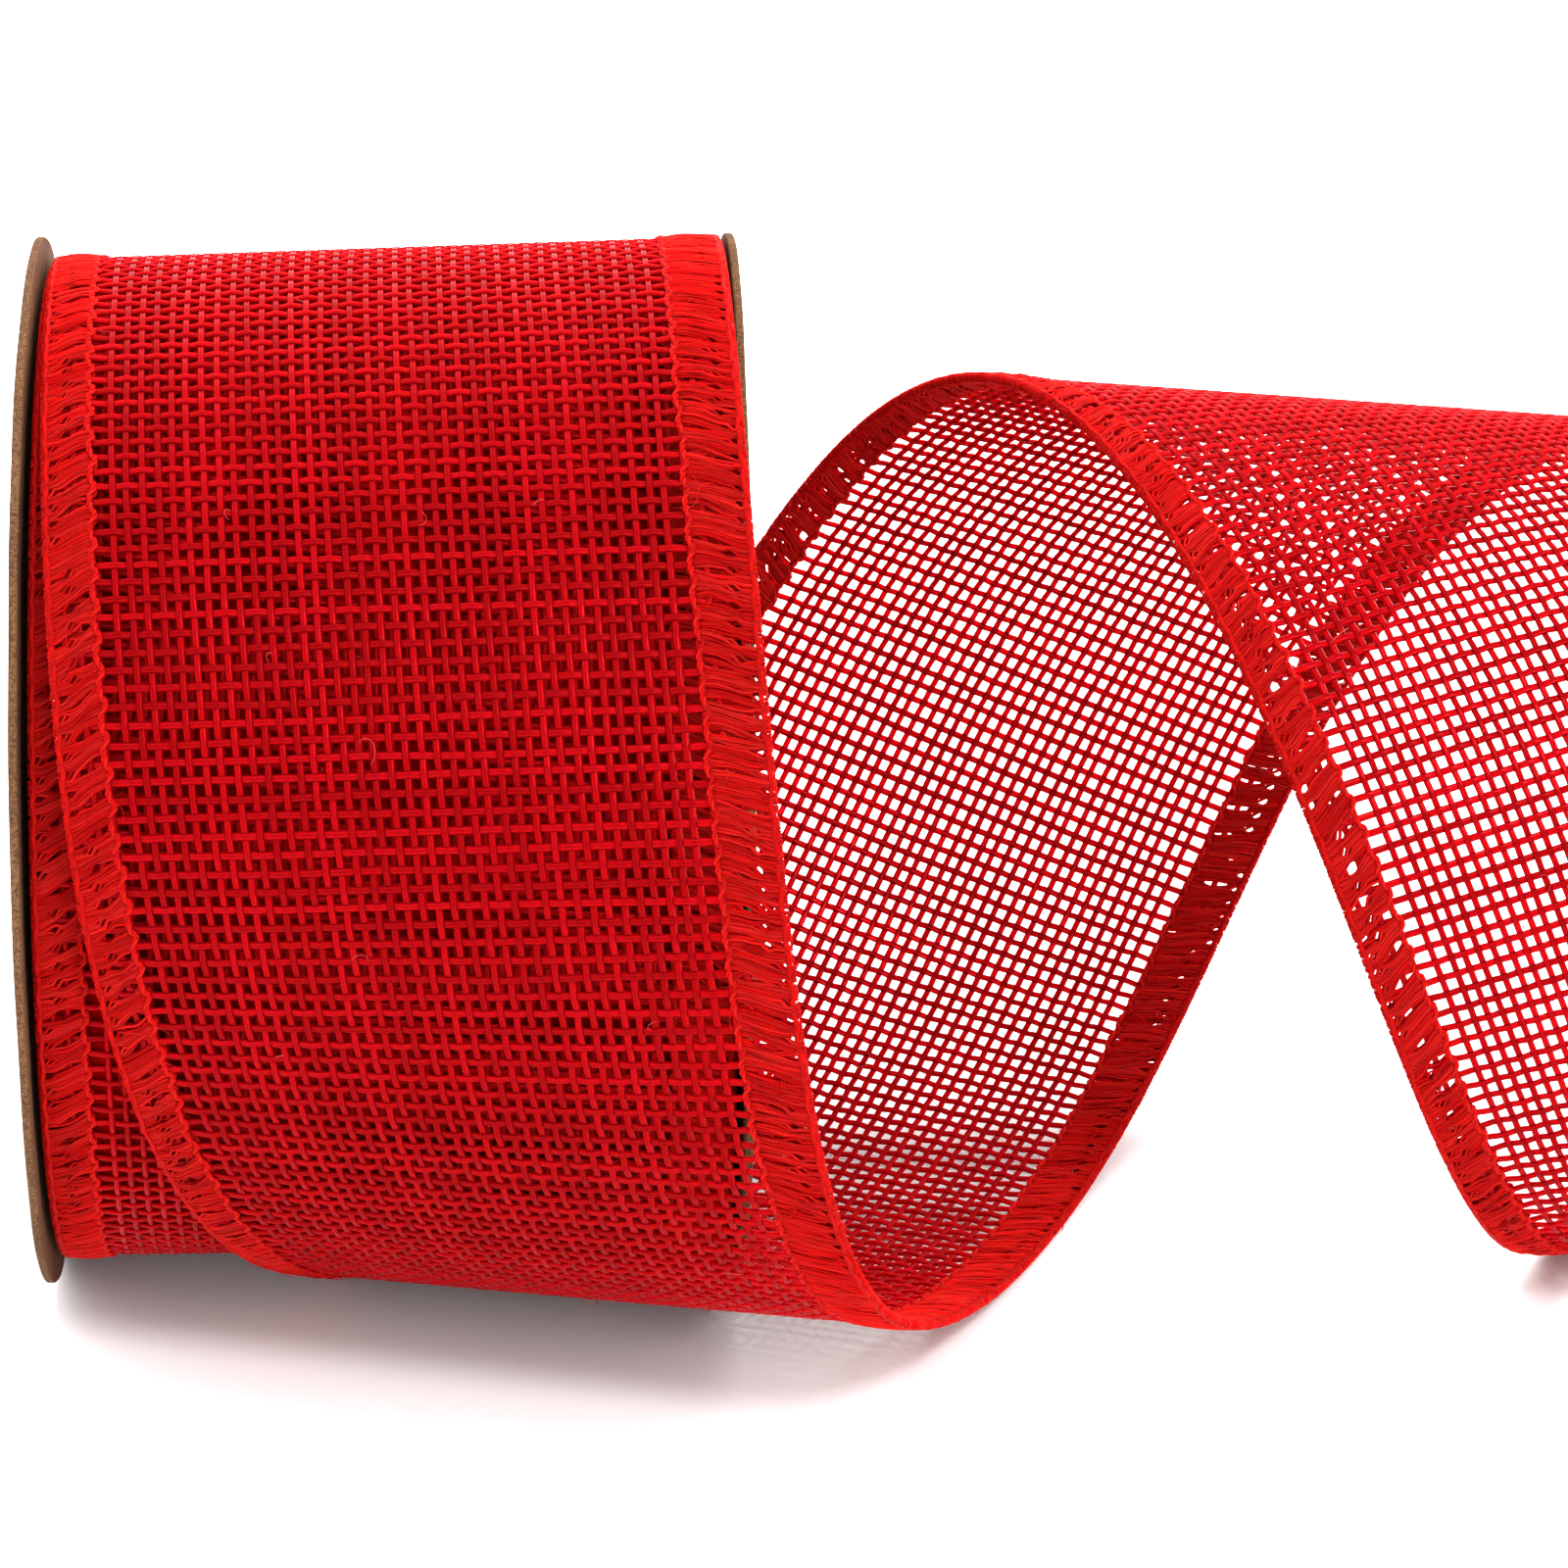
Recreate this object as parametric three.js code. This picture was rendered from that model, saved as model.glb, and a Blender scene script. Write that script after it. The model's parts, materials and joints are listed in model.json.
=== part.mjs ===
// A spool of wired mesh ribbon: two chipboard flanges on a paperboard core tube, the wound
// ribbon between them, and the free end of the ribbon, which leaves the roll at the front,
// passes under the right flange and stands in a loose helix beside the spool.
// Millimetres, +Z up. The spool's axis runs along X, a little higher at its right end.

import * as THREE from 'three';

// ---- Driving dimensions ----------------------------------------------------

const FLANGE_RADIUS = 50.3;
const FLANGE_THICKNESS = 0.8;
const FLANGE_SPACING = 65;              // clear width between the flanges
const CORE_RADIUS = 19;                 // outside of the core tube
const CORE_WALL = 1.5;
const GLUE_THICKNESS = 0.3;             // glue between a flange and the end of the tube
const CLEARANCE = 0.3;                  // between pieces that touch

const RIBBON_WIDTH = 63.5;
const MESH_THICKNESS = 0.6;
const HEM_THICKNESS = 0.8;
const LEFT_HEM_WIDTH = 4.6;
const RIGHT_HEM_WIDTH = 5.8;
const WIRE_DIAMETER = 0.4;
const ROLL_RADIUS = 47.2;               // outside of the wound ribbon

const TAPE_WIDTH = 40;                  // tape that holds the ribbon's inner end on the tube
const TAPE_LENGTH = 15;
const TAPE_THICKNESS = 0.2;

const SPOOL_LIFT = 1.1;                 // the right flange stands on the ribbon, not on the table
const TAIL_RADIUS = 48.3;               // from the spool's axis to the free ribbon where it starts
const TAIL_OFFSET = 0.15;               // of its middle from the spool's middle, along the axis
const TAIL_START = THREE.MathUtils.degToRad(231.2);   // where it starts, from the front over the top
const TAIL_STEP = 6;                    // length of one facet of the free ribbon
const BENDS_PER_STEP = 6;               // small turns that make up the bend of one facet

const ROUND_STEPS = 72;
const TAPE_STEPS = 6;
const WIRE_SIDES = 6;

// The free ribbon's bends, at distances along its middle line: the radius it is curled to,
// the slant of the line it curls about (0 square across the ribbon, 1 at 45 degrees), and its
// sideways bend in its own plane, as a curvature per metre.
const TAIL_BENDS = [
  { at: 0, radius: 48.3, slant: 0, sideways: 0 },
  { at: 60, radius: 48.3, slant: 0, sideways: 0 },
  { at: 120, radius: 53.5, slant: 0.08, sideways: -0.25 },
  { at: 160, radius: 57, slant: 0.07, sideways: -0.2 },
  { at: 200, radius: 44, slant: 0.33, sideways: -0.25 },
  { at: 230, radius: 51.5, slant: 0.19, sideways: -0.1 },
  { at: 260, radius: 61.5, slant: 0, sideways: 0.35 },
  { at: 290, radius: 93.5, slant: 0.385, sideways: 0.6 },
  { at: 320, radius: 64, slant: 0.51, sideways: 0.8 },
  { at: 360, radius: 46, slant: 0.5, sideways: 0.45 },
  { at: 400, radius: 49, slant: 0.39, sideways: -0.15 },
  { at: 460, radius: 55, slant: 0.52, sideways: -0.1 },
  { at: 520, radius: 47.4, slant: 0.42, sideways: 0.05 },
  { at: 565, radius: 43, slant: 0.42, sideways: 0.1 },
  { at: 579, radius: 38, slant: 0.4, sideways: 0.1 },
  { at: 587, radius: 500, slant: 0.38, sideways: 0 },
  { at: 660, radius: 500, slant: 0.05, sideways: 0 },
];

// ---- Materials -------------------------------------------------------------

const MATERIALS = {
  chipboard: new THREE.MeshStandardMaterial({ color: 0x96785a, roughness: 0.9, metalness: 0 }),
  paperboard: new THREE.MeshStandardMaterial({ color: 0xa08a70, roughness: 0.9, metalness: 0 }),
  glue: new THREE.MeshStandardMaterial({ color: 0xd8cfae, roughness: 0.4, metalness: 0 }),
  tape: new THREE.MeshStandardMaterial({ color: 0xd9d2bd, roughness: 0.3, metalness: 0 }),
  mesh: new THREE.MeshStandardMaterial({ color: 0xc80008, roughness: 0.6, metalness: 0 }),
  hem: new THREE.MeshStandardMaterial({ color: 0xdc1a16, roughness: 0.55, metalness: 0 }),
  wire: new THREE.MeshStandardMaterial({ color: 0xb4b4b8, roughness: 0.3, metalness: 1 }),
};

function piece(name, material, geometry) {
  const mesh = new THREE.Mesh(geometry, MATERIALS[material]);
  mesh.name = name;
  return mesh;
}

// ---- The bands across the ribbon -------------------------------------------

const LEFT_EDGE = -RIBBON_WIDTH / 2;
const RIGHT_EDGE = RIBBON_WIDTH / 2;
const WIRE_ROOM = WIRE_DIAMETER + CLEARANCE;

const BANDS = {
  left_wire: [LEFT_EDGE, LEFT_EDGE + WIRE_DIAMETER],
  left_hem: [LEFT_EDGE + WIRE_ROOM, LEFT_EDGE + LEFT_HEM_WIDTH],
  mesh: [LEFT_EDGE + LEFT_HEM_WIDTH + CLEARANCE, RIGHT_EDGE - RIGHT_HEM_WIDTH - CLEARANCE],
  right_hem: [RIGHT_EDGE - RIGHT_HEM_WIDTH, RIGHT_EDGE - WIRE_ROOM],
  right_wire: [RIGHT_EDGE - WIRE_DIAMETER, RIGHT_EDGE],
};

// ---- The spool, about the X axis -------------------------------------------

const BORE_RADIUS = CORE_RADIUS - CORE_WALL;
const FLANGE_FACE = FLANGE_SPACING / 2;
const TUBE_END = FLANGE_FACE - GLUE_THICKNESS - 2 * CLEARANCE;
const TAPE_RADIUS = CORE_RADIUS + CLEARANCE;
const ROLL_BORE_RADIUS = TAPE_RADIUS + TAPE_THICKNESS + CLEARANCE;

/** A ring about the X axis, of rectangular section. */
function ring([fromX, toX], innerRadius, outerRadius) {
  const profile = [
    new THREE.Vector2(innerRadius, fromX),
    new THREE.Vector2(outerRadius, fromX),
    new THREE.Vector2(outerRadius, toX),
    new THREE.Vector2(innerRadius, toX),
    new THREE.Vector2(innerRadius, fromX),
  ];
  const geometry = new THREE.LatheGeometry(profile, ROUND_STEPS);
  geometry.rotateZ(-Math.PI / 2);
  return geometry;
}

/** A closed solid through a row of convex outlines that all have the same number of corners. */
function lofted(outlines) {
  const corners = outlines[0].length;
  const positions = outlines.flat().flatMap((corner) => corner.toArray());
  const triangles = [];
  for (let row = 0; row < outlines.length - 1; row += 1) {
    for (let corner = 0; corner < corners; corner += 1) {
      const here = row * corners + corner;
      const beside = row * corners + ((corner + 1) % corners);
      triangles.push(here, beside, beside + corners);
      triangles.push(here, beside + corners, here + corners);
    }
  }
  const last = (outlines.length - 1) * corners;
  for (let corner = 1; corner < corners - 1; corner += 1) {
    triangles.push(0, corner + 1, corner);
    triangles.push(last, last + corner, last + corner + 1);
  }
  const geometry = new THREE.BufferGeometry();
  geometry.setAttribute('position', new THREE.Float32BufferAttribute(positions, 3));
  geometry.setIndex(triangles);
  geometry.computeVertexNormals();
  return geometry;
}

function startTape() {
  const spread = TAPE_LENGTH / TAPE_RADIUS;
  const outlines = [];
  for (let step = 0; step <= TAPE_STEPS; step += 1) {
    const angle = spread * (step / TAPE_STEPS - 0.5);
    const outward = new THREE.Vector3(0, Math.sin(angle), Math.cos(angle));
    const corner = (x, radius) => outward.clone().multiplyScalar(radius).setX(x);
    outlines.push([
      corner(-TAPE_WIDTH / 2, TAPE_RADIUS),
      corner(-TAPE_WIDTH / 2, TAPE_RADIUS + TAPE_THICKNESS),
      corner(TAPE_WIDTH / 2, TAPE_RADIUS + TAPE_THICKNESS),
      corner(TAPE_WIDTH / 2, TAPE_RADIUS),
    ]);
  }
  return lofted(outlines);
}

function wound(band) {
  return ring(band, ROLL_BORE_RADIUS, ROLL_RADIUS);
}

const leftFlange = [-FLANGE_FACE - FLANGE_THICKNESS, -FLANGE_FACE];
const rightFlange = [FLANGE_FACE, FLANGE_FACE + FLANGE_THICKNESS];
const leftGlue = [-TUBE_END - CLEARANCE - GLUE_THICKNESS, -TUBE_END - CLEARANCE];
const rightGlue = [TUBE_END + CLEARANCE, TUBE_END + CLEARANCE + GLUE_THICKNESS];

const spool = new THREE.Group();
spool.add(
  piece('left_flange', 'chipboard', ring(leftFlange, BORE_RADIUS, FLANGE_RADIUS)),
  piece('right_flange', 'chipboard', ring(rightFlange, BORE_RADIUS, FLANGE_RADIUS)),
  piece('core_tube', 'paperboard', ring([-TUBE_END, TUBE_END], BORE_RADIUS, CORE_RADIUS)),
  piece('left_glue_ring', 'glue', ring(leftGlue, BORE_RADIUS, CORE_RADIUS)),
  piece('right_glue_ring', 'glue', ring(rightGlue, BORE_RADIUS, CORE_RADIUS)),
  piece('start_tape', 'tape', startTape()),
  piece('wound_mesh', 'mesh', wound(BANDS.mesh)),
  piece('wound_left_hem', 'hem', wound(BANDS.left_hem)),
  piece('wound_right_hem', 'hem', wound(BANDS.right_hem)),
  piece('wound_left_wire', 'wire', wound(BANDS.left_wire)),
  piece('wound_right_wire', 'wire', wound(BANDS.right_wire)),
);

// The left flange stands on the table and the right one is lifted, so the axis leans.
const lean = Math.asin(SPOOL_LIFT / (FLANGE_SPACING + FLANGE_THICKNESS));
spool.rotation.y = -lean;
spool.position.z = FLANGE_RADIUS * Math.cos(lean) + (FLANGE_FACE + FLANGE_THICKNESS) * Math.sin(lean);
spool.updateMatrix();

// ---- The free end of the ribbon --------------------------------------------

/** The free ribbon's bend at a distance along it, between the listed ones. */
function bendAt(distance) {
  const next = TAIL_BENDS.findIndex((bend, place) => place > 0 && bend.at >= distance);
  const [before, after] = [TAIL_BENDS[next - 1], TAIL_BENDS[next]];
  const share = (distance - before.at) / (after.at - before.at);
  return {
    curl: THREE.MathUtils.lerp(1 / before.radius, 1 / after.radius, share),
    slant: THREE.MathUtils.lerp(before.slant, after.slant, share),
    sideways: THREE.MathUtils.lerp(before.sideways, after.sideways, share) / 1000,
  };
}

/**
 * The free ribbon's cross lines. Each has a point on the middle line, the directions along the
 * ribbon and across it, the side it curls to, and the line across that stays straight.
 */
function crossLines() {
  const point = new THREE.Vector3(
    TAIL_OFFSET,
    -TAIL_RADIUS * Math.cos(TAIL_START),
    TAIL_RADIUS * Math.sin(TAIL_START),
  ).applyMatrix4(spool.matrix);
  const along = new THREE.Vector3(0, -Math.sin(TAIL_START), -Math.cos(TAIL_START));
  const across = new THREE.Vector3(1, 0, 0);
  along.transformDirection(spool.matrix);
  across.transformDirection(spool.matrix);

  const length = TAIL_BENDS.at(-1).at;
  const bendStep = TAIL_STEP / BENDS_PER_STEP;
  const count = Math.round(length / bendStep);
  const lines = [];
  for (let step = 0; step <= count; step += 1) {
    const { curl, slant, sideways } = bendAt(Math.min((step + 0.5) * bendStep, length));
    if (step % BENDS_PER_STEP === 0) {
      const { slant: lineSlant } = bendAt(step * bendStep);
      lines.push({
        point: point.clone(),
        inward: across.clone().cross(along),
        straight: across.clone().addScaledVector(along, lineSlant),
      });
    }
    const inward = across.clone().cross(along);
    const turn = across.clone().multiplyScalar(curl);
    turn.addScaledVector(along, curl * slant).addScaledVector(inward, -sideways);
    const angle = turn.length() * bendStep;
    turn.normalize();
    const before = along.clone();
    along.applyAxisAngle(turn, angle).normalize();
    across.applyAxisAngle(turn, angle).normalize();
    point.addScaledVector(before.add(along).normalize(), bendStep);
  }
  return lines;
}

const TAIL_LINES = crossLines();

/** A band of the free ribbon whose section is an outline of [across, inward] corners. */
function tail(outline) {
  return lofted(TAIL_LINES.map(({ point, inward, straight }) => outline.map(
    ([x, height]) => point.clone().addScaledVector(straight, x).addScaledVector(inward, height),
  )));
}

function flatSection([from, to], thickness) {
  const half = thickness / 2;
  return [[from, -half], [from, half], [to, half], [to, -half]];
}

function roundSection([from, to]) {
  const centre = (from + to) / 2;
  const radius = (to - from) / 2;
  return Array.from({ length: WIRE_SIDES }, (_, side) => {
    const angle = (2 * Math.PI * side) / WIRE_SIDES;
    return [centre - radius * Math.cos(angle), radius * Math.sin(angle)];
  });
}

const ribbonSpool = new THREE.Group();
ribbonSpool.add(
  spool,
  piece('tail_mesh', 'mesh', tail(flatSection(BANDS.mesh, MESH_THICKNESS))),
  piece('tail_left_hem', 'hem', tail(flatSection(BANDS.left_hem, HEM_THICKNESS))),
  piece('tail_right_hem', 'hem', tail(flatSection(BANDS.right_hem, HEM_THICKNESS))),
  piece('tail_left_wire', 'wire', tail(roundSection(BANDS.left_wire))),
  piece('tail_right_wire', 'wire', tail(roundSection(BANDS.right_wire))),
);

// The origin is in the middle of the base.
const extent = new THREE.Box3().setFromObject(ribbonSpool, true);
const middle = extent.getCenter(new THREE.Vector3());
ribbonSpool.position.set(-middle.x, -middle.y, -extent.min.z);

export default ribbonSpool;
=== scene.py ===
"""A spool of wired mesh ribbon, woven yarn by yarn and stitched thread by thread on its CAD frame.

Lengths are in millimetres until a mesh is made. The ribbon has flat coordinates: u along it,
t across it (left edge negative) and h above its outer side. A surface function turns them
into points in space, so the same yarns and threads make the roll and the free ribbon.
"""

import json
import math

import bpy
import numpy as np
from mathutils import Matrix, Vector


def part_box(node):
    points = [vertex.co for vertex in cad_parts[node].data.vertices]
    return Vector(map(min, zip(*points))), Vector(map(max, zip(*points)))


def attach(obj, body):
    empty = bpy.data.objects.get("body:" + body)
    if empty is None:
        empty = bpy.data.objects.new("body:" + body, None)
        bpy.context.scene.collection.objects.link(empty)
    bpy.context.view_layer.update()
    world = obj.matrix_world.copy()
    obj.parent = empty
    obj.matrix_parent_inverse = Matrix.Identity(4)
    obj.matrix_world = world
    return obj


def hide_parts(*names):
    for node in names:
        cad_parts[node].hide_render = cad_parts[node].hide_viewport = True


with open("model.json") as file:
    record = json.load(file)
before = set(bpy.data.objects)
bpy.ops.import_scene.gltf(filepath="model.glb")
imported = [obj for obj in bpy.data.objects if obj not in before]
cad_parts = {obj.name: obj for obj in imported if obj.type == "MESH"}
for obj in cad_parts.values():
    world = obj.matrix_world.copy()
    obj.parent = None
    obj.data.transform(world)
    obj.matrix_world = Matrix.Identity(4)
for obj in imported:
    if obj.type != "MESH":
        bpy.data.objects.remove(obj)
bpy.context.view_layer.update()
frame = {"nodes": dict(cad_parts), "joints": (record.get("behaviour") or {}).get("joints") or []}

MM = 0.001
rng = np.random.default_rng(19)

# ---- The spool's place and sizes, from the frame -----------------------------

HINGE = frame["joints"][0]
CENTRE = np.array(HINGE["pos_m"]) / MM
AXIS = np.array(HINGE["axis"], float)
BACK = np.array([0.0, 1.0, 0.0])
UP = np.cross(AXIS, BACK)


def half_depth(node):
    """The radius of a round node about the spool's axis."""
    low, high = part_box(node)
    return (high.y - low.y) / 2 / MM


def ends(node):
    """Where a flange starts and ends along the spool's axis."""
    points = np.array([v.co for v in frame["nodes"][node].data.vertices]) / MM
    along = (points - CENTRE) @ AXIS
    return along.min(), along.max()


CORE_WALL = 1.5
FLANGE_RADIUS = half_depth("left_flange")
ROLL_RADIUS = half_depth("wound_mesh")
CORE_RADIUS = half_depth("core_tube")
BORE_RADIUS = CORE_RADIUS - CORE_WALL

# ---- The ribbon ---------------------------------------------------------------

WIDTH = 63.5
LEFT_EDGE, RIGHT_EDGE = -WIDTH / 2, WIDTH / 2
LEFT_HEM_WIDTH = 4.6
RIGHT_HEM_WIDTH = 5.8
WIRE_RADIUS = 0.2

WARP_PITCH = 1.375          # from one lengthwise yarn to the next
WEFT_PITCH = 1.69           # from one crossing yarn to the next
WEFT_SKEW = 0.07            # the crossing yarns lie a little askew
LADDER = 1.8                # from a hem's inner edge to the first lengthwise yarn
WARP_WIDTH = 0.64
WEFT_WIDTH = 0.7
YARN_THICKNESS = 0.44
CRIMP = 0.085               # how far a yarn rises over the one it crosses
CRIMP_STEEPNESS = 1.5
YARN_WANDER = 0.06
WEFT_INSET = 0.75           # a crossing yarn ends this far inside the edge
LEFT_HEM_WARPS = 1.6        # depths of the outermost lengthwise yarns that the stitches cover
RIGHT_HEM_WARPS = 0.9

STITCH = 3.05               # length of one overlock stitch
STRANDS = 18                # strands of one stitch
STRAND_WIDTH = 0.28
STRAND_THICKNESS = 0.24
HEM_HEIGHT = 0.34           # from the ribbon's middle to the strands
STITCH_LEAN = 1.9           # a stitch's outer end is this far ahead of its inner end
LEFT_STITCH = (0.52, 0.04)   # how tightly a stitch is drawn together, and how far strands stray
RIGHT_STITCH = (0.3, 0.1)
PARTINGS = (0.95, 2.25)     # depths from the edge at which the strands part over the weave's holes
PARTING_REACH = 0.38        # how far a strand moves aside for a hole
MISSING_STRANDS = 0.05
CHAIN_HEIGHT = 0.3
CHAIN_WIDTH = 0.34
CORD_DEPTH = 0.45           # from the edge to the cord that the strands turn over
CORD_WIDTH = 0.5

FIBRE_WIDTH = 0.06
WOUND_WIRE_PITCH = 0.65     # from one turn of the wound wires to the next
WOUND_WIRE_MARGIN = 1.2     # between the wires' spiral and the roll's inside and outside

TOP_TURN = 0.2              # the top turn's middle stands this far over the frame's roll
INSIDE_DEPTH = 0.45         # from the top turn's middle down to the turns below it
INSIDE_INSET = 0.6          # the turns below end this far inside the edges
CORE_GAP = 0.8              # room for the tape between the tube and the ribbon

# The free ribbon's bends: distance along it, curl radius, slant of the curl line, and
# sideways bend as a curvature per metre. The last stretch lies on the table.
TAIL_BENDS = np.array([
    (0, 48.3, 0, 0),
    (60, 48.3, 0, 0),
    (120, 53.5, 0.08, -0.25),
    (160, 57, 0.07, -0.2),
    (200, 44, 0.33, -0.25),
    (230, 51.5, 0.19, -0.1),
    (260, 61.5, 0, 0.35),
    (290, 93.5, 0.385, 0.6),
    (320, 64, 0.51, 0.8),
    (360, 46, 0.5, 0.45),
    (400, 49, 0.39, -0.15),
    (460, 55, 0.52, -0.1),
    (520, 47.4, 0.42, 0.05),
    (565, 43, 0.42, 0.1),
    (579, 38, 0.4, 0.1),
    (587, 500, 0.38, 0),
    (660, 500, 0.05, 0),
])
TAIL_LENGTH = TAIL_BENDS[-1, 0]
TAIL_RADIUS = 48.3
TAIL_OFFSET = 0.15
TAIL_START = math.radians(231.2)    # from the front over the top
TAIL_STEP = 0.5
TAIL_MARGIN = 4                     # worked out beyond the cut end
TAIL_CORRECTIONS = 14


def turned(vector, by):
    """A vector turned by a rotation vector."""
    angle = np.linalg.norm(by)
    axis = by / angle
    return (vector * math.cos(angle) + np.cross(axis, vector) * math.sin(angle)
            + axis * (axis @ vector) * (1 - math.cos(angle)))


def tail_lines():
    """The free ribbon's cross lines: middle point, straight line across, and inward normal."""
    radial = -math.cos(TAIL_START) * BACK + math.sin(TAIL_START) * UP
    point = CENTRE + TAIL_OFFSET * AXIS + TAIL_RADIUS * radial
    along = -math.sin(TAIL_START) * BACK - math.cos(TAIL_START) * UP
    across = AXIS.copy()
    at = TAIL_BENDS[:, 0]
    steps = np.arange(0, TAIL_LENGTH + TAIL_MARGIN, TAIL_STEP)
    slants = np.interp(steps, at, TAIL_BENDS[:, 2])
    rows = []
    for step, slant in zip(steps, slants):
        inward = np.cross(across, along)
        rows.append((point.copy(), across + slant * along, inward))
        middle = step + TAIL_STEP / 2
        curl = np.interp(middle, at, 1 / TAIL_BENDS[:, 1])
        lean = np.interp(middle, at, TAIL_BENDS[:, 2])
        sideways = np.interp(middle, at, TAIL_BENDS[:, 3]) / 1000
        turn = (curl * (across + lean * along) - sideways * inward) * TAIL_STEP
        before = along
        along, across = turned(along, turn), turned(across, turn)
        point = point + (before + along) / np.linalg.norm(before + along) * TAIL_STEP
    points, straights, inwards = (np.array(column) for column in zip(*rows))
    return slants, points, straights, inwards


TAIL = tail_lines()


def on_tail(u, t, h):
    """Points of the free ribbon from its flat coordinates."""
    slants, points, straights, inwards = TAIL
    place = u / TAIL_STEP
    index = np.arange(len(slants))
    for _ in range(TAIL_CORRECTIONS):   # finds the cross line that runs through a flat point
        place = (u - np.interp(place, index, slants) * t) / TAIL_STEP
    place = np.clip(place, 0, len(slants) - 1.001)
    row = place.astype(int)
    share = (place - row)[..., None]

    def between(values):
        return values[row] * (1 - share) + values[row + 1] * share

    return between(points) + t[..., None] * between(straights) - h[..., None] * between(inwards)


def on_roll(radius):
    """The surface function of one turn of the wound ribbon, at a radius."""
    def surface(u, t, h):
        angle = TAIL_START - u / radius
        radial = -np.cos(angle)[..., None] * BACK + np.sin(angle)[..., None] * UP
        return CENTRE + t[..., None] * AXIS + (radius + h)[..., None] * radial
    return surface


# ---- Meshes from many tubes ---------------------------------------------------

def oval(sides):
    """A tube's outline, from -1 to 1 across its width and its thickness."""
    angle = 2 * np.pi * np.arange(sides) / sides
    high = np.sin(angle)
    return np.stack([np.cos(angle), high / np.abs(high).max()], axis=-1)


# Two plies side by side, with a groove between them on each face.
TWO_PLY = np.array([(1, 0), (0.55, 1), (0, 0.55), (-0.55, 1), (-1, 0), (-0.55, -1), (0, -0.55), (0.55, -1)])


class Tubes:
    """Collects tubes laid on a ribbon's surface and makes one mesh of them."""

    def __init__(self, surface):
        self.surface = surface
        self.points, self.quads, self.caps, self.quad_kinds, self.cap_kinds = [], [], [], [], []
        self.count = 0

    def add(self, u, t, h, width, thickness, side, outline, closed=False, kinds=None):
        """Adds tubes. u, t and h have a row for each tube; side is the flat direction of its width."""
        path = np.stack(np.broadcast_arrays(u, t, h), axis=-1).astype(float)
        tubes, steps = path.shape[:2]
        sides = len(outline)
        wide, high = self.directions(path, side, closed)
        flat_x = outline[:, 0] * width / 2
        flat_z = outline[:, 1] * thickness / 2
        ring = (path[:, :, None] + flat_x[:, None] * wide[:, :, None]
                + flat_z[:, None] * high[:, :, None])
        self.points.append(self.surface(ring[..., 0], ring[..., 1], ring[..., 2]).reshape(-1, 3))
        kinds = np.zeros(tubes, int) if kinds is None else kinds
        self.skin(tubes, steps, sides, closed, kinds)
        self.count += tubes * steps * sides

    def directions(self, path, side, closed):
        """The directions of a tube's width and thickness at each point of its path."""
        if closed:
            ahead = np.roll(path, -1, axis=1) - np.roll(path, 1, axis=1)
            ahead[:, 0] = path[:, 1] - path[:, 0]
            ahead[:, -1] = path[:, -1] - path[:, -2]
        else:
            ahead = np.gradient(path, axis=1)
        ahead /= np.linalg.norm(ahead, axis=-1, keepdims=True)
        side = np.array(side, float)
        wide = side - (ahead @ side)[..., None] * ahead
        wide /= np.linalg.norm(wide, axis=-1, keepdims=True)
        return wide, np.cross(ahead, wide)

    def skin(self, tubes, steps, sides, closed, kinds):
        """The faces round the tubes, and over the ends of open ones."""
        number = self.count + np.arange(tubes * steps * sides).reshape(tubes, steps, sides)
        around = np.roll(number, -1, axis=2)
        if closed:
            next_number, next_around = np.roll(number, -1, axis=1), np.roll(around, -1, axis=1)
            quads = np.stack([number, around, next_around, next_number], axis=-1)
        else:
            quads = np.stack([number[:, :-1], around[:, :-1], around[:, 1:], number[:, 1:]], axis=-1)
            caps = np.stack([number[:, 0, ::-1], number[:, -1]], axis=1).reshape(-1, sides)
            self.caps.append(caps)
            self.cap_kinds.append(np.repeat(kinds, 2))
        self.quads.append(quads.reshape(-1, 4))
        self.quad_kinds.append(np.repeat(kinds, quads.shape[1] * sides))

    def piece(self, name, materials):
        """One object of all the tubes."""
        points = np.concatenate(self.points) * MM
        faces = [(quads, kinds) for quads, kinds in zip(self.quads, self.quad_kinds)]
        faces += [(caps, kinds) for caps, kinds in zip(self.caps, self.cap_kinds)]
        loops = np.concatenate([f.ravel() for f, _ in faces])
        totals = np.concatenate([np.full(len(f), f.shape[1]) for f, _ in faces])
        kinds = np.concatenate([k for _, k in faces])
        return mesh_piece(name, points, loops, totals, kinds, materials)


def mesh_piece(name, points, loops, totals, kinds, materials):
    """An object from arrays: points, the faces' corners in a row, and each face's size and material."""
    mesh = bpy.data.meshes.new(name)
    mesh.vertices.add(len(points))
    mesh.vertices.foreach_set("co", points.astype(np.float32).ravel())
    mesh.loops.add(len(loops))
    mesh.loops.foreach_set("vertex_index", loops.astype(np.int32))
    mesh.polygons.add(len(totals))
    starts = np.concatenate([[0], np.cumsum(totals)[:-1]])
    mesh.polygons.foreach_set("loop_start", starts.astype(np.int32))
    mesh.polygons.foreach_set("loop_total", totals.astype(np.int32))
    mesh.polygons.foreach_set("material_index", kinds.astype(np.int32))
    mesh.polygons.foreach_set("use_smooth", np.ones(len(totals), bool))
    for material in materials:
        mesh.materials.append(material)
    mesh.update(calc_edges=True)
    piece = bpy.data.objects.new(name, mesh)
    bpy.context.scene.collection.objects.link(piece)
    return piece


# ---- Materials ----------------------------------------------------------------

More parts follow.
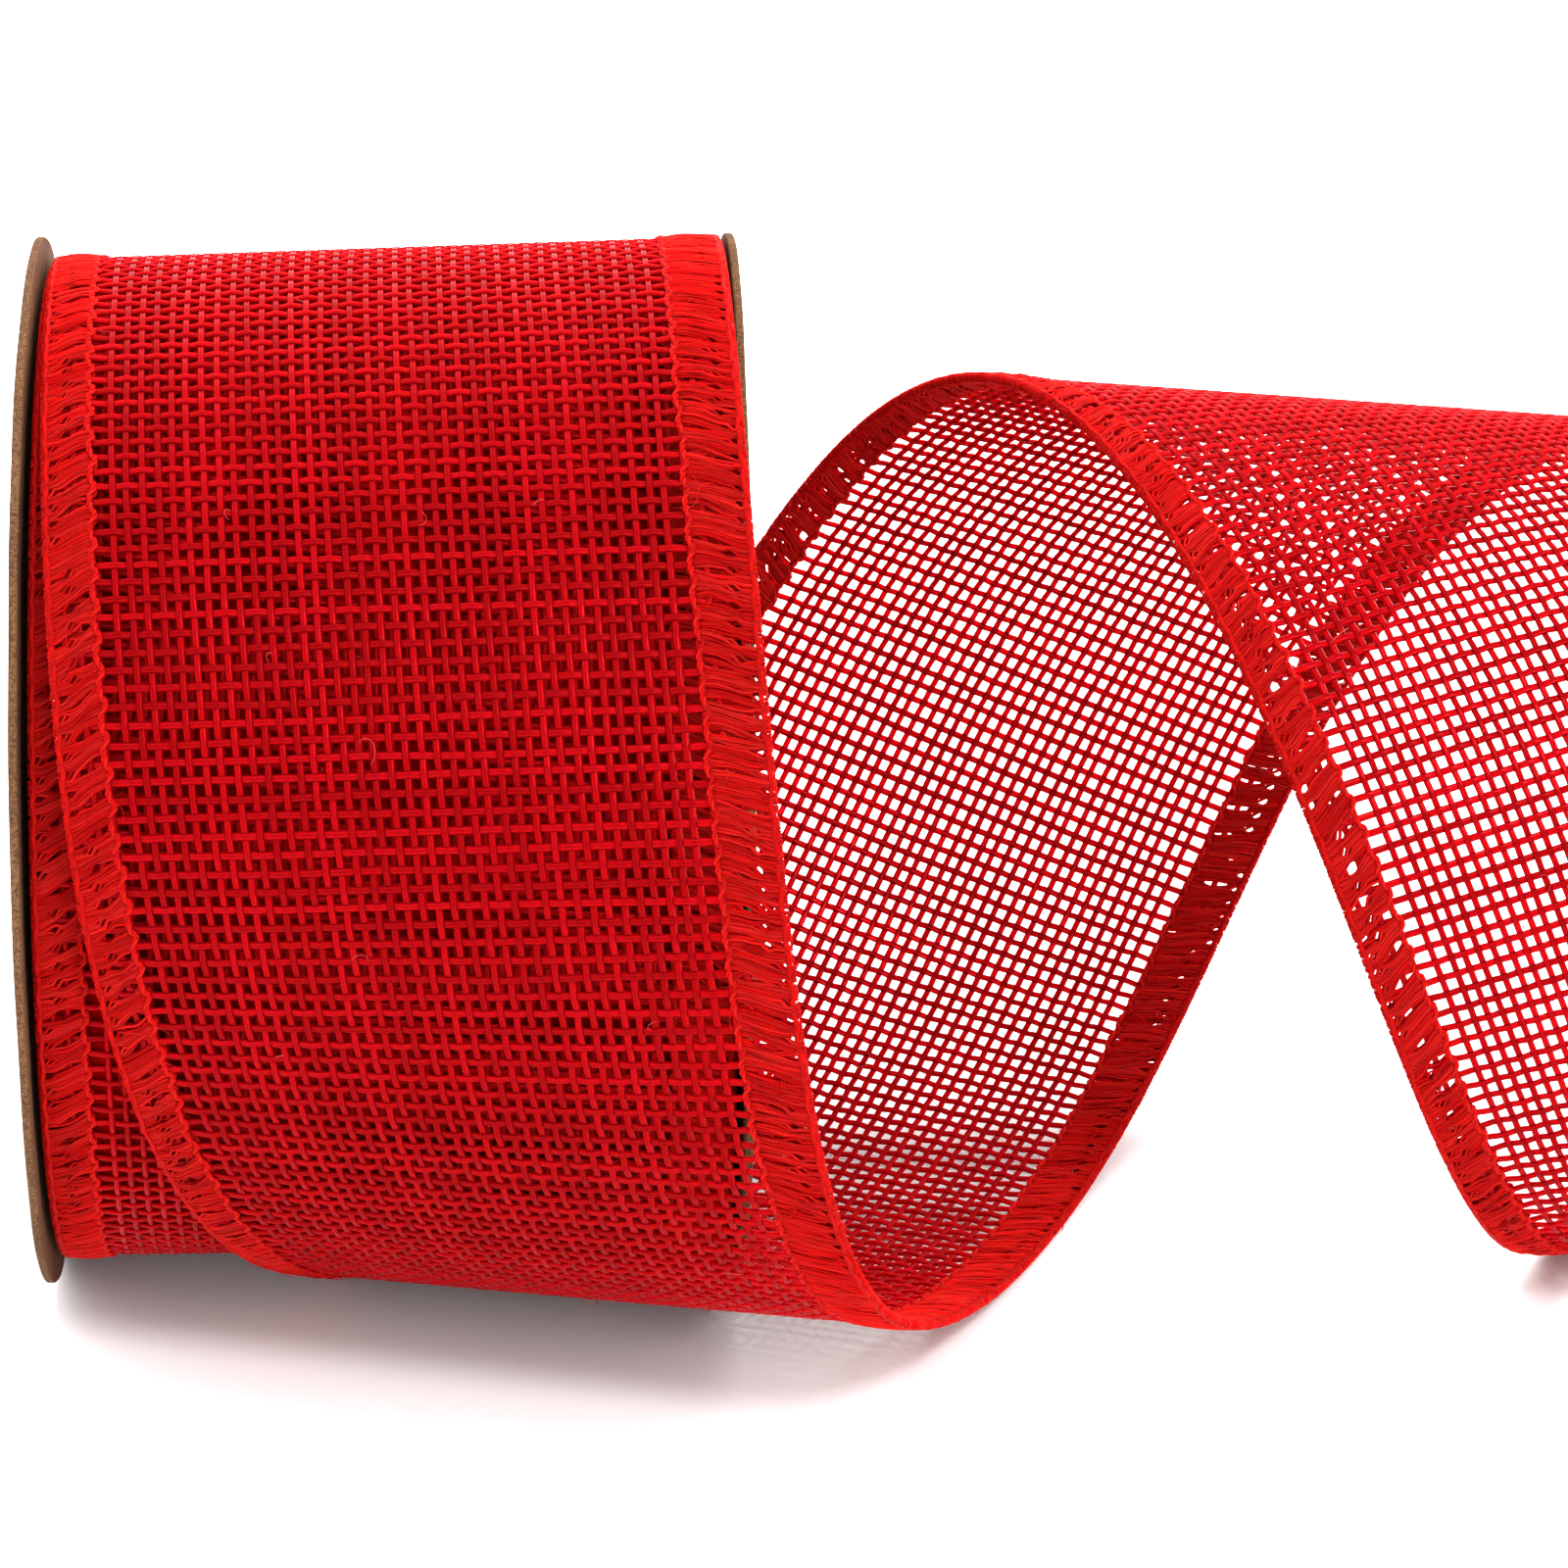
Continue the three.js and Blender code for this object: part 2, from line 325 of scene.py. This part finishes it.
def plain(name, colour, roughness, **sockets):
    """A material with one colour, for threads: their pattern is in the mesh."""
    material = bpy.data.materials.new(name)
    material.use_nodes = True
    shader = material.node_tree.nodes["Principled BSDF"]
    shader.inputs["Base Color"].default_value = (*colour, 1)
    shader.inputs["Roughness"].default_value = roughness
    for socket, value in sockets.items():
        shader.inputs[socket.replace("_", " ")].default_value = value
    return material


def thread(name, colour, roughness, metal, gloss, translucent):
    """Satin thread: its gloss takes some of its colour, and light comes through it."""
    return plain(name, colour, roughness, Metallic=metal, Specular_IOR_Level=gloss,
                 Specular_Tint=(1, 0.5, 0.5, 1), Subsurface_Weight=translucent,
                 Subsurface_Radius=(1, 0.1, 0.08), Subsurface_Scale=0.0015)


def board(name, dark, light, scale, roughness=0.88, bump=0.25, gloss=0.15):
    """Uncoated board: blotches, fine flecks of fibre and a slightly rough surface."""
    material = bpy.data.materials.new(name)
    material.use_nodes = True
    nodes, links = material.node_tree.nodes, material.node_tree.links
    shader = nodes["Principled BSDF"]
    shader.inputs["Specular IOR Level"].default_value = gloss
    place = nodes.new("ShaderNodeTexCoord")
    blotches = nodes.new("ShaderNodeTexNoise")
    blotches.inputs["Scale"].default_value = scale
    blotches.inputs["Detail"].default_value = 8
    flecks = nodes.new("ShaderNodeTexNoise")
    flecks.inputs["Scale"].default_value = scale * 14
    flecks.inputs["Detail"].default_value = 3
    total = nodes.new("ShaderNodeMath")
    total.operation = "MULTIPLY_ADD"
    total.inputs[1].default_value = 0.3
    colours = nodes.new("ShaderNodeValToRGB")
    colours.color_ramp.elements[0].position = 0.5
    colours.color_ramp.elements[0].color = (*dark, 1)
    colours.color_ramp.elements[1].position = 0.82
    colours.color_ramp.elements[1].color = (*light, 1)
    rough = nodes.new("ShaderNodeMapRange")
    rough.inputs["To Min"].default_value = roughness - 0.08
    rough.inputs["To Max"].default_value = roughness + 0.08
    relief = nodes.new("ShaderNodeBump")
    relief.inputs["Strength"].default_value = bump
    relief.inputs["Distance"].default_value = 0.00015
    for texture in (blotches, flecks):
        links.new(place.outputs["Object"], texture.inputs["Vector"])
    links.new(blotches.outputs["Fac"], total.inputs[0])
    links.new(flecks.outputs["Fac"], total.inputs[2])
    links.new(total.outputs[0], colours.inputs["Fac"])
    links.new(colours.outputs["Color"], shader.inputs["Base Color"])
    links.new(flecks.outputs["Fac"], rough.inputs["Value"])
    links.new(rough.outputs["Result"], shader.inputs["Roughness"])
    links.new(flecks.outputs["Fac"], relief.inputs["Height"])
    links.new(relief.outputs["Normal"], shader.inputs["Normal"])
    return material


YARNS = [
    thread("yarn_red", (0.255, 0.0003, 0.0018), 0.27, 0.2, 0.05, 1.0),
    thread("yarn_deep_red", (0.21, 0.0002, 0.0014), 0.31, 0.2, 0.05, 1.0),
    thread("yarn_bright_red", (0.3, 0.0006, 0.0025), 0.23, 0.2, 0.05, 1.0),
]
STITCHING = [
    thread("stitch_red", (0.4, 0.003, 0.0025), 0.6, 0.0, 0.03, 0.6),
    thread("stitch_deep_red", (0.33, 0.0018, 0.0018), 0.65, 0.0, 0.03, 0.6),
    thread("stitch_bright_red", (0.48, 0.006, 0.005), 0.55, 0.0, 0.03, 0.6),
]
FIBRE = thread("loose_fibre", (0.5, 0.03, 0.03), 0.4, 0.0, 0.03, 0.5)
WIRE = plain("edge_wire", (0.62, 0.62, 0.64), 0.28, Metallic=1.0)
CHIPBOARD = board("chipboard", (0.085, 0.032, 0.013), (0.16, 0.073, 0.032), 90)
CHIPBOARD_EDGE = board("chipboard_cut_edge", (0.055, 0.022, 0.009), (0.16, 0.078, 0.035), 260, 0.92, 0.5)
PAPERBOARD = board("paperboard", (0.17, 0.1, 0.055), (0.32, 0.22, 0.13), 120)
GLUE = board("dried_glue", (0.42, 0.36, 0.22), (0.55, 0.5, 0.34), 200, 0.35, 0.1)
TAPE = board("paper_tape", (0.46, 0.41, 0.3), (0.56, 0.52, 0.41), 150, 0.5, 0.1)
ROLL_INSIDE = board("packed_ribbon", (0.14, 0.0001, 0.0002), (0.38, 0.0004, 0.0008), 900, 0.9, 1.0, 0.0)


# ---- The ribbon's yarns and stitches --------------------------------------------

MESH_LEFT = LEFT_EDGE + LEFT_HEM_WIDTH
MESH_RIGHT = RIGHT_EDGE - RIGHT_HEM_WIDTH
HEMS = [
    ("left", LEFT_EDGE, MESH_LEFT, LEFT_STITCH),
    ("right", RIGHT_EDGE, MESH_RIGHT, RIGHT_STITCH),
]


def warp_places():
    """Where the lengthwise yarns lie: evenly in the open mesh, and some under the stitches."""
    first, last = MESH_LEFT + LADDER, MESH_RIGHT - LADDER
    count = round((last - first) / WARP_PITCH) + 1
    mesh = np.linspace(first, last, count)
    left = np.arange(LEFT_EDGE + LEFT_HEM_WARPS, MESH_LEFT - 0.2, WARP_PITCH)
    right = np.arange(MESH_RIGHT + 0.1, RIGHT_EDGE - RIGHT_HEM_WARPS, WARP_PITCH)
    return np.concatenate([left, mesh, right])


def count_wefts(length):
    """The crossing yarns in a length of ribbon: an even number, so that a roll's ends meet."""
    return int(round(length / WEFT_PITCH / 2)) * 2


def wander(tubes, places, size, spacing=14.0):
    """Slow random wandering of yarns: a row of values for each tube at the places."""
    knots = np.arange(places.min() - spacing, places.max() + 2 * spacing, spacing)
    values = rng.normal(0, size, (tubes, len(knots)))
    return np.array([np.interp(places, knots, row) for row in values])


def crimped(phase):
    """The rise and fall of a yarn, with flat tops and steep sides."""
    return CRIMP * np.tanh(CRIMP_STEEPNESS * np.cos(np.pi * phase)) / math.tanh(CRIMP_STEEPNESS)


def woven(surface, length, closed, outline):
    """The open plain weave over a length of ribbon."""
    tubes = Tubes(surface)
    warps = warp_places()
    wefts = count_wefts(length)
    pitch = length / wefts

    steps = wefts * 3
    u = np.linspace(0, length, steps + 1)
    u = u[:-1] if closed else u
    sway = 0 if closed else wander(len(warps), u, YARN_WANDER)
    t = warps[:, None] + sway + 0 * u
    crossing = (u[None] - WEFT_SKEW * t) / pitch - 0.5
    over = np.where(np.arange(len(warps)) % 2, -1.0, 1.0)[:, None]
    kinds = rng.integers(0, len(YARNS), len(warps))
    tubes.add(u[None], t, over * crimped(crossing), WARP_WIDTH, YARN_THICKNESS, (0, 1, 0),
              outline, closed, kinds)

    steps = int(3 * WIDTH / WARP_PITCH)
    t = np.linspace(LEFT_EDGE + WEFT_INSET, RIGHT_EDGE - WEFT_INSET, steps)
    number = np.arange(wefts)
    u = (number[:, None] + 0.5) * pitch + WEFT_SKEW * t[None] + wander(wefts, t, YARN_WANDER, 9.0)
    if not closed:
        margin = 0.4
        inside = (u.min(axis=1) > margin) & (u.max(axis=1) < length - margin)
        number, u = number[inside], u[inside]
    order = np.interp(t, warps, np.arange(len(warps)))[None]
    over = np.where(number % 2, 1.0, -1.0)[:, None]
    kinds = rng.integers(0, len(YARNS), len(number))
    tubes.add(u, t[None], over * crimped(order), WEFT_WIDTH, YARN_THICKNESS, (1, 0, 0),
              outline, False, kinds)
    return tubes


def parted(u, t, edge, length):
    """Strands' places along the ribbon, parted round some of the weave's holes."""
    out = math.copysign(1, edge)
    pitch = length / count_wefts(length)
    for depth in PARTINGS:
        hole = np.round((u - WEFT_SKEW * t) / pitch)
        open_here = np.sin(hole * 12.99 + depth * 7) > 0.1      # a scattered half of the holes
        off = u - WEFT_SKEW * t - hole * pitch
        beside = np.exp(-((t - edge + out * depth) / 0.55) ** 2)
        u = u + PARTING_REACH * np.sign(off) * np.exp(-(off / 0.5) ** 2) * beside * open_here
    return u


def add_strands(tubes, length, stitches, edge, inner, tightness, fuzz, closed):
    """Each stitch's bunch of strands: over the ribbon, round its edge and back under it."""
    out = math.copysign(1, edge)
    pitch = length / stitches

    def for_strands(values):
        return np.repeat(values, STRANDS)

    stitch = for_strands(np.arange(stitches))
    spread = np.tile((np.arange(STRANDS) + 0.5) / STRANDS - 0.5, stitches)
    middle = (stitch + 0.5) * pitch
    pinch = for_strands(rng.uniform(0.15, 1, stitches) * tightness)
    pinch_at = for_strands(rng.uniform(0.2, 0.5, stitches))
    pinch_length = for_strands(rng.uniform(0.25, 0.45, stitches))
    lean = for_strands(rng.normal(STITCH_LEAN, 0.25, stitches))
    keep = rng.random(len(stitch)) > MISSING_STRANDS
    if not closed:
        keep &= (middle > STITCH_LEAN) & (middle < length - STITCH_LEAN)
    columns = [v[keep][:, None] for v in (spread, middle, pinch, pinch_at, pinch_length, lean)]
    spread, middle, pinch, pinch_at, pinch_length, lean = columns
    count = len(spread)

    run = np.linspace(0, 1, 10)[None]       # along a strand, from the chain to the edge
    reach = abs(edge - inner) - HEM_HEIGHT
    flat_t = inner + out * (0.1 + (reach - 0.1) * run)

    def jitter(size):
        return rng.normal(0, size, (count, 1))

    def wiggle(run, size):
        """Strands cross their neighbours here and there."""
        waves = rng.uniform(0.6, 1.6, (count, 1))
        sizes = size * rng.uniform(0.2, 1, (count, 1))
        return sizes * np.sin(2 * np.pi * (waves * run + rng.random((count, 1))))

    def laid(run):
        """Where a strand lies along the ribbon, from the chain to the edge."""
        bunched = 1 - pinch * np.exp(-((run - pinch_at) / pinch_length) ** 2)
        ease = run * run * (3 - 2 * run)
        u = (middle + spread * pitch * bunched + lean * (0.35 * run + 0.65 * ease - 0.5)
             + wiggle(run, fuzz) + jitter(0.04))
        return parted(u, flat_t, edge, length)

    def raised(run):
        """How high a strand lies: a stitch is a rounded bundle, flat at the chain."""
        bundle = 0.17 * (1 - 4 * spread * spread) * np.sin(np.pi * np.clip(run * 0.9 + 0.1, 0, 1))
        return (HEM_HEIGHT * (0.5 + 0.4 * np.minimum(run * 4, 1)) + bundle
                + wiggle(run, 0.05) + jitter(0.04))

    bend = np.radians([35, 90, 145])[None]      # where the strand turns over the edge
    top_u, under_u = laid(run), laid(run)
    top_h, under_h = raised(run), raised(run)
    turn_t = edge - out * (HEM_HEIGHT * (1 - np.sin(bend)) + abs(jitter(0.04)))
    turn_u = top_u[:, -1:] + (under_u[:, -1:] - top_u[:, -1:]) * np.array([0.2, 0.5, 0.8])
    u = np.concatenate([top_u, turn_u, under_u[:, ::-1]], axis=1)
    t = np.concatenate([flat_t + 0 * top_h, turn_t, flat_t[:, ::-1] + 0 * top_h], axis=1)
    h = np.concatenate([top_h, HEM_HEIGHT * np.cos(bend) + jitter(0.01), -under_h[:, ::-1]], axis=1)
    kinds = rng.integers(0, len(STITCHING), count)
    tubes.add(u, t, h, STRAND_WIDTH, STRAND_THICKNESS, (1, 0, 0), oval(4), False, kinds)


def add_chain_and_cord(tubes, length, stitches, edge, inner, closed):
    """On each side, two twisted strands that hold the stitches' inner ends, and a cord at the edge."""
    out = math.copysign(1, edge)
    u = np.linspace(0, length, stitches * 12 + 1)
    u = u[:-1] if closed else u[8:-8]       # the chain stops just short of the cut ends
    turn = 2 * np.pi * u / (length / stitches)
    drift = 0 if closed else wander(1, u, 0.09, 4.0)[0]
    sway = 0.22 * np.sin(turn + 0.8) + 0.08 * np.sin(2 * turn) + drift
    twist = np.array([0, np.pi])[:, None]
    for face in (1, -1):
        t = inner + out * 0.15 + sway + 0.15 * np.cos(turn * 2 + twist)
        h = face * (CHAIN_HEIGHT + 0.07 * np.sin(turn * 2 + twist))
        tubes.add(u[None], t, h, CHAIN_WIDTH, 0.28, (0, 1, 0), oval(5), closed, np.array([0, 2]))

    t = edge - out * (CORD_DEPTH + 0.08 * np.sin(turn + 2) + 0.5 * drift)[None]
    for face, kind in ((1, 0), (-1, 1)):
        tubes.add(u[None], t, face * 0.38 + 0 * t, CORD_WIDTH, 0.24, (0, 1, 0), oval(6), closed,
                  np.array([kind]))


def stitched(surface, length, edge, inner, tightness, fuzz, closed):
    """The overlocked edge: bunched strands wrapped round the wire, a chain and an edge cord.

    tightness is how far a stitch's strands are drawn together, and fuzz how far they stray.
    """
    tubes = Tubes(surface)
    stitches = int(round(length / STITCH))
    add_strands(tubes, length, stitches, edge, inner, tightness, fuzz, closed)
    add_chain_and_cord(tubes, length, stitches, edge, inner, closed)
    return tubes


def edge_wire(surface, length, edge):
    """The wire that the stitches hold along one edge of the free ribbon."""
    tubes = Tubes(surface)
    u = np.arange(0, length, 1.5)[None]
    t = np.full_like(u, edge - math.copysign(HEM_HEIGHT, edge))
    tubes.add(u, t, 0 * u, 2 * WIRE_RADIUS, 2 * WIRE_RADIUS, (0, 1, 0), oval(8))
    return tubes


def wound_wire(edge):
    """The edge wire of all the turns of the roll, as one spiral."""
    inner = CORE_RADIUS + WOUND_WIRE_MARGIN
    turns = int((ROLL_RADIUS - WOUND_WIRE_MARGIN - inner) / WOUND_WIRE_PITCH)
    angle = np.linspace(0, 2 * np.pi * turns, turns * 60)
    radius = inner + WOUND_WIRE_PITCH * angle / (2 * np.pi)

    def spiral(u, t, h):
        place = np.interp(u, np.arange(len(angle)), angle)
        reach = np.interp(u, np.arange(len(angle)), radius) + h
        radial = -np.cos(place)[..., None] * BACK + np.sin(place)[..., None] * UP
        return CENTRE + t[..., None] * AXIS + reach[..., None] * radial

    tubes = Tubes(spiral)
    u = np.arange(len(angle))[None].astype(float)
    t = np.full_like(u, edge - math.copysign(WIRE_RADIUS, edge))
    tubes.add(u, t, 0 * u, 2 * WIRE_RADIUS, 2 * WIRE_RADIUS, (0, 1, 0), oval(5))
    return tubes


def fibres(surface, length, count, from_t, to_t):
    """Short loose fibres that stand off the ribbon."""
    tubes = Tubes(surface)
    run = np.linspace(0, 1, 9)[None]

    def each(low, high):
        return rng.uniform(low, high, count)[:, None]

    u0, t0 = each(8, length - 8), each(from_t, to_t)
    heading, bend, reach = each(0, 2 * np.pi), each(-3, 3), each(0.6, 2.6)
    u = u0 + reach * run * np.cos(heading + bend * run)
    t = np.clip(t0 + reach * run * np.sin(heading + bend * run), LEFT_EDGE, RIGHT_EDGE)
    face = np.where(rng.random((count, 1)) < 0.6, 1, -1)
    h = face * (0.32 + each(0.05, 0.5) * np.sin(np.pi * run))
    tubes.add(u, t, h, FIBRE_WIDTH, FIBRE_WIDTH, (0.3, 0.3, 0.9), oval(3))
    return tubes


# ---- Turned board parts -----------------------------------------------------------

def lathe(name, outline, materials, kinds, steps=256, ripple=0.0):
    """A solid turned about the spool's axis from a closed outline of [along, radius] corners."""
    outline = np.array(outline, float)
    corners = len(outline)
    angle = 2 * np.pi * np.arange(steps) / steps
    wobble = ripple * (np.sin(3 * angle + 1) + 0.6 * np.sin(7 * angle + 2) + 0.4 * np.sin(17 * angle))
    radial = np.cos(angle)[:, None] * UP + np.sin(angle)[:, None] * BACK
    share = (outline[:, 1] / FLANGE_RADIUS) ** 2
    along = outline[None, :, 0] + wobble[:, None] * share[None]
    points = CENTRE + along[..., None] * AXIS + outline[None, :, 1, None] * radial[:, None]
    number = np.arange(steps * corners).reshape(steps, corners)
    after = np.roll(number, -1, axis=1)
    quads = np.stack([number, after, np.roll(after, -1, axis=0), np.roll(number, -1, axis=0)], axis=-1)
    quads = quads.reshape(-1, 4)
    return mesh_piece(name, points.reshape(-1, 3) * MM, quads.ravel(), np.full(len(quads), 4),
                      np.tile(kinds, steps), materials)


def flange(name, node):
    """A die-cut chipboard disc: slightly rounded, a little wavy, with its grey core at the rim."""
    low, high = ends(node)
    bevel = 0.14
    inner_ring, outer_ring = 30, 44     # corners part way out, so that the disc can wave
    outline = [
        (low, BORE_RADIUS), (low, inner_ring), (low, outer_ring), (low, FLANGE_RADIUS - bevel),
        (low + bevel, FLANGE_RADIUS), (high - bevel, FLANGE_RADIUS),
        (high, FLANGE_RADIUS - bevel), (high, outer_ring), (high, inner_ring), (high, BORE_RADIUS),
    ]
    kinds = [0, 0, 0, 1, 1, 1, 0, 0, 0, 1]
    piece = lathe(name, outline, [CHIPBOARD, CHIPBOARD_EDGE], kinds, ripple=0.05)
    for polygon in piece.data.polygons:
        polygon.use_smooth = False
    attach(piece, "spool")
    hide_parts(node)
    return piece


# ---- Build ------------------------------------------------------------------------

def put(tubes, name, body, materials, node):
    """Makes a piece of tubes that moves with a body and, where a node is given, replaces it."""
    piece = tubes.piece(name, materials)
    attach(piece, body)
    if node:
        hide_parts(node)
    return piece


def build_tail():
    """The free ribbon: its weave, stitched hems, edge wires and loose fibres."""
    mesh = put(woven(on_tail, TAIL_LENGTH, False, TWO_PLY), "free_ribbon_mesh",
               "ribbon_tail", YARNS, "tail_mesh")
    left, right = [
        put(stitched(on_tail, TAIL_LENGTH, edge, inner, *stitch, False), f"free_ribbon_{side}_hem",
            "ribbon_tail", STITCHING, f"tail_{side}_hem")
        for side, edge, inner, stitch in HEMS
    ]
    for side, edge, _, _ in HEMS:
        put(edge_wire(on_tail, TAIL_LENGTH, edge), f"free_ribbon_{side}_wire",
            "ribbon_tail", [WIRE], f"tail_{side}_wire")
    put(fibres(on_tail, TAIL_LENGTH, 150, MESH_LEFT, MESH_RIGHT), "free_ribbon_mesh_fibres",
        "ribbon_tail", [FIBRE], None)
    put(fibres(on_tail, TAIL_LENGTH, 500, LEFT_EDGE, MESH_LEFT), "free_ribbon_left_hem_fibres",
        "ribbon_tail", [STITCHING[2]], None)
    put(fibres(on_tail, TAIL_LENGTH, 600, MESH_RIGHT, RIGHT_EDGE), "free_ribbon_right_hem_fibres",
        "ribbon_tail", [STITCHING[2]], None)


def build_roll():
    """The wound ribbon: its top turn, its coiled edge wires, and the turns below as one body."""
    radius = ROLL_RADIUS + TOP_TURN
    around = 2 * np.pi * radius
    surface = on_roll(radius)
    put(woven(surface, around, True, oval(5)), "wound_ribbon_mesh", "spool", YARNS,
        "wound_mesh")
    for side, edge, inner, stitch in HEMS:
        put(stitched(surface, around, edge, inner, *stitch, True), f"wound_ribbon_{side}_hem",
            "spool", STITCHING, f"wound_{side}_hem")
    for side, edge, _, _ in HEMS:
        put(wound_wire(edge), f"wound_ribbon_{side}_wire", "spool", [WIRE],
            f"wound_{side}_wire")

    inner, outer = CORE_RADIUS + CORE_GAP, radius - INSIDE_DEPTH
    left, right = LEFT_EDGE + INSIDE_INSET, RIGHT_EDGE - INSIDE_INSET
    body = lathe("wound_ribbon_inside", [(left, inner), (left, outer), (right, outer), (right, inner)],
                 [ROLL_INSIDE], [0, 0, 0, 0], 192)
    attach(body, "spool")


def paint_cad():
    """Gives the frame's own board, glue and tape their materials."""
    looks = {"core_tube": PAPERBOARD, "left_glue_ring": GLUE, "right_glue_ring": GLUE, "start_tape": TAPE}
    for node, material in looks.items():
        piece = frame["nodes"][node]
        piece.data.materials.clear()
        piece.data.materials.append(material)


# ---- Stage --------------------------------------------------------------------------

def build_stage():
    """A plain white table, just under the part."""
    mesh = bpy.data.meshes.new("floor")
    size = 4.0
    corners = [(-size, -size, 0), (size, -size, 0), (size, size, 0), (-size, size, 0)]
    mesh.from_pydata(corners, [], [(0, 1, 2, 3)])
    floor = bpy.data.objects.new("floor", mesh)
    floor.location.z = -0.0001
    bpy.context.scene.collection.objects.link(floor)
    mesh.materials.append(plain("white_table", (0.92, 0.92, 0.92), 0.9, Specular_IOR_Level=0.1))


def area_light(name, place, target, size, power):
    """A softbox turned to a target. Its size is in metres and its power in watts."""
    data = bpy.data.lights.new(name, "AREA")
    data.shape = "RECTANGLE"
    data.size, data.size_y = size
    data.energy = power
    light = bpy.data.objects.new(name, data)
    light.location = place
    light.rotation_mode = "QUATERNION"
    light.rotation_quaternion = (Vector(target) - Vector(place)).to_track_quat("-Z", "Y")
    bpy.context.scene.collection.objects.link(light)
    return light


def build_lights():
    """A bright white studio, a small softbox in front and a large one behind, which gives no glare."""
    world = bpy.data.worlds.new("studio")
    world.use_nodes = True
    background = world.node_tree.nodes["Background"]
    background.inputs["Color"].default_value = (1, 1, 1, 1)
    background.inputs["Strength"].default_value = 2.0
    bpy.context.scene.world = world
    middle = (0, 0, 0.05)
    area_light("front_softbox", (0.3, -0.85, 1.0), middle, (0.25, 0.25), 9.5)
    back = area_light("back_softbox", (0.1, 0.8, 0.95), middle, (0.9, 0.6), 24)
    back.visible_glossy = False


def build_camera():
    """The camera, a little over half a metre in front of the spool and looking down at it."""
    data = bpy.data.cameras.new("camera")
    data.lens = 154.1
    camera = bpy.data.objects.new("camera", data)
    yaw, pitch, roll = (math.radians(a) for a in (3.15, 21.45, 1.49))
    forward = Vector((math.sin(yaw) * math.cos(pitch), math.cos(yaw) * math.cos(pitch), -math.sin(pitch)))
    level = Vector((math.cos(yaw), -math.sin(yaw), 0))
    rise = level.cross(forward)
    right = level * math.cos(roll) + rise * math.sin(roll)
    up = rise * math.cos(roll) - level * math.sin(roll)
    place = Vector((CENTRE[0] + 4.8, CENTRE[1] - 605.7, 286.6)) * MM
    rotation = Matrix((right, up, -forward)).transposed()
    camera.matrix_world = Matrix.Translation(place) @ rotation.to_4x4()
    data.clip_start, data.clip_end = 0.05, 20
    bpy.context.scene.collection.objects.link(camera)
    bpy.context.scene.camera = camera


build_camera()
build_lights()
build_stage()
flange("left_disc", "left_flange")
flange("right_disc", "right_flange")
paint_cad()
build_roll()
build_tail()
bpy.context.scene.view_settings.view_transform = "Standard"
